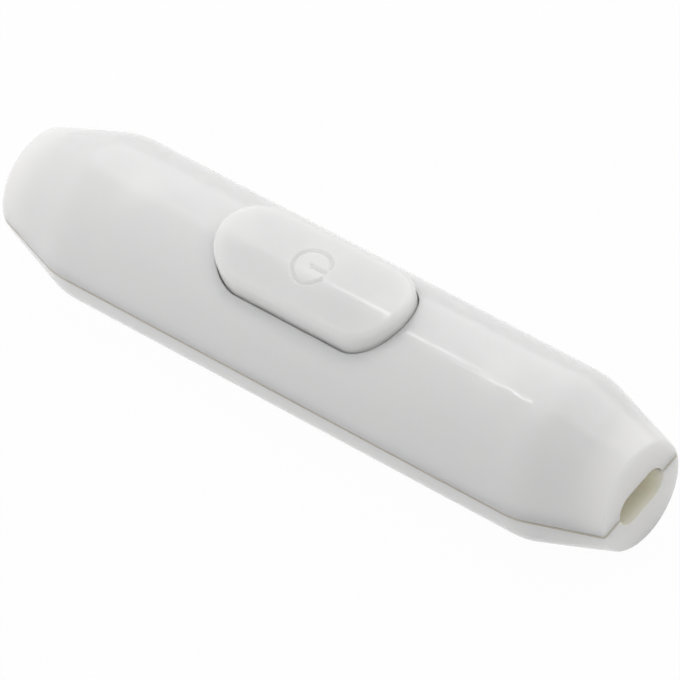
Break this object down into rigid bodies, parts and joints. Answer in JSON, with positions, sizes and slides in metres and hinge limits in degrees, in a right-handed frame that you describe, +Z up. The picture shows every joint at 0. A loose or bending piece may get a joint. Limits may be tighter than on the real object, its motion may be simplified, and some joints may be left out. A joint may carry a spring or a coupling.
{
  "type": "inline cord switch",
  "caption": "Long moulded inline cord switch with tapered ends, a flat cord slot at each end and a raised latching push button on top.",
  "frame": {"origin": "middle of the flat underside that the switch rests on", "axes": "+X along the body, +Y across it, +Z up through the push button"},
  "size_m": [0.09, 0.0202, 0.0202],
  "materials": {
    "shell": "white, glossy, moulded",
    "button": "white, glossy, moulded",
    "clamp_nylon": "natural nylon",
    "terminal_brass": "drawn and stamped brass",
    "contact_silver": "silver contact metal",
    "plated_steel": "zinc-plated steel",
    "spring_steel": "bright spring steel"
  },
  "bodies": {
    "housing": {"upper_shell": "shell", "lower_shell": "shell", "neutral_terminal": "terminal_brass", "live_terminal_left": "terminal_brass", "live_terminal_right": "terminal_brass", "fixed_contact_left": "contact_silver", "fixed_contact_right": "contact_silver", "cord_clamp_left": "clamp_nylon", "cord_clamp_right": "clamp_nylon", "terminal_screw_1": "plated_steel", "terminal_screw_2": "plated_steel", "terminal_screw_3": "plated_steel", "terminal_screw_4": "plated_steel", "clamp_screw_1": "plated_steel", "clamp_screw_2": "plated_steel", "clamp_screw_3": "plated_steel", "clamp_screw_4": "plated_steel", "housing_screw_left": "plated_steel", "housing_screw_right": "plated_steel", "return_spring_left": "spring_steel", "return_spring_right": "spring_steel", "latch_leaf": "spring_steel"},
    "button": {"push_button": "button", "contact_spring": "spring_steel"},
    "bridge": {"contact_bridge": "terminal_brass", "bridge_contact_left": "contact_silver", "bridge_contact_right": "contact_silver"},
    "latch": {"latch_pin": "spring_steel"}
  },
  "joints": [
    {"name": "button_press", "type": "slide", "parent": "housing", "child": "button", "axis": [0, 0, 1], "range_m": [-0.0024, 0], "stiffness_N_per_m": 500, "springref_m": 0.003, "deforming": ["return_spring_left", "return_spring_right"]},
    {"name": "bridge_lag", "type": "slide", "parent": "button", "child": "bridge", "axis": [0, 0, 1], "range_m": [0, 0.0006], "deforming": ["contact_spring"]},
    {"name": "latch_swing", "type": "hinge", "parent": "housing", "child": "latch", "pos_m": [0, 0.00345, 0.00255], "axis": [0, 1, 0], "range_deg": [0, 15.5]}
  ],
  "couplings": [
    {"joint": "bridge_lag", "follows": "button_press", "ratio": -0.25},
    {"joint": "latch_swing", "follows": "button_press", "rad_per_m": -112.47}
  ]
}
